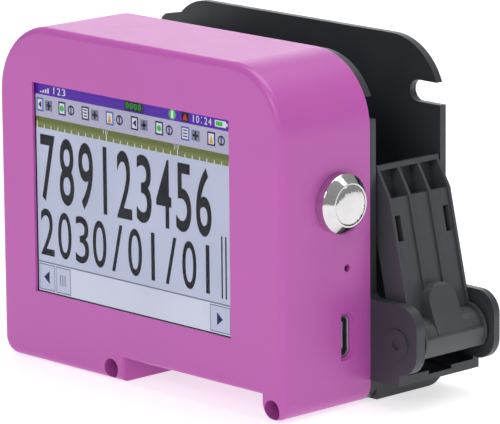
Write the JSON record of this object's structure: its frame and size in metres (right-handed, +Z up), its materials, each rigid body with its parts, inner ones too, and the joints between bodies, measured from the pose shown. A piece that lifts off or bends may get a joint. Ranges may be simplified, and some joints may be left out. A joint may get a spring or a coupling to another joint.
{
  "type": "handheld date coding inkjet printer",
  "caption": "Handheld date coder: coloured screen unit with a round side power button, in front of an open black cartridge bay closed at one end by a swing lever.",
  "frame": {"origin": "middle of the footprint, on the surface that the feet stand on", "axes": "+X to the user's right, +Y away from the user behind the screen, +Z up"},
  "size_m": [0.1172, 0.056, 0.0841],
  "materials": {
    "shell_plastic": "satin moulded",
    "black_plastic": "fine textured moulded",
    "lever_plastic": "satin moulded",
    "light_plastic": "smooth",
    "chip_plastic": "matt",
    "chrome": "polished",
    "steel": "bright drawn",
    "gold": "plated",
    "touch_glass": "smooth",
    "display": "smooth",
    "foam": "closed cell",
    "rubber": "matt",
    "board": "solder mask",
    "film": "smooth film",
    "foil": "satin foil",
    "red_sleeve": "smooth"
  },
  "bodies": {
    "housing": {"front_shell": "shell_plastic", "screen_gasket": "foam", "touch_panel": "touch_glass", "lcd_panel": "display", "lcd_frame": "steel", "display_ribbon": "film", "battery": "foil", "battery_pads": "foam", "battery_leads": "red_sleeve", "main_board": "board", "board_chips": "chip_plastic", "board_sockets": "light_plastic", "usb_socket": "steel", "reset_switch": "chip_plastic", "buzzer": "chip_plastic", "button_body": "chrome", "button_spring": "steel", "button_washer": "rubber", "button_nut": "steel", "button_terminals": "gold", "button_leads": "red_sleeve", "back_cover": "black_plastic", "front_plate": "black_plastic", "bay_floor": "black_plastic", "end_box": "black_plastic", "rear_plate": "black_plastic", "contact_block": "black_plastic", "contact_pins": "gold", "contact_flex": "film", "hinge_pin": "steel", "latch_spring": "steel", "encoder_sensor": "chip_plastic", "foot_screws": "steel", "top_screws": "steel", "board_screws": "steel", "rear_screws": "steel"},
    "power_cap": {"button_cap": "chrome"},
    "reset_key": {"reset_plunger": "light_plastic"},
    "latch": {"latch_lever": "lever_plastic", "latch_leaf": "steel"},
    "encoder_wheel": {"encoder_hub": "light_plastic", "encoder_tyre": "rubber", "encoder_axle": "steel", "encoder_disc": "steel"}
  },
  "joints": [
    {"name": "latch_swing", "type": "hinge", "parent": "housing", "child": "latch", "pos_m": [0.05105, 0.0148, 0.0159], "axis": [0, 1, 0], "range_deg": [0, 100], "stiffness_Nm_per_rad": 0.03, "springref_deg": -34.38, "deforming": ["latch_spring"]},
    {"name": "power_press", "type": "slide", "parent": "housing", "child": "power_cap", "axis": [-1, 0, 0], "range_m": [0, 0.0012], "stiffness_N_per_m": 1200, "springref_m": -0.001, "deforming": ["button_spring"]},
    {"name": "reset_press", "type": "slide", "parent": "housing", "child": "reset_key", "axis": [-1, 0, 0], "range_m": [0, 0.0003], "stiffness_N_per_m": 2500, "springref_m": -0.0003},
    {"name": "encoder_spin", "type": "hinge", "parent": "housing", "child": "encoder_wheel", "pos_m": [-0.05125, 0.015, 0.008], "axis": [1, 0, 0], "continuous": true}
  ]
}
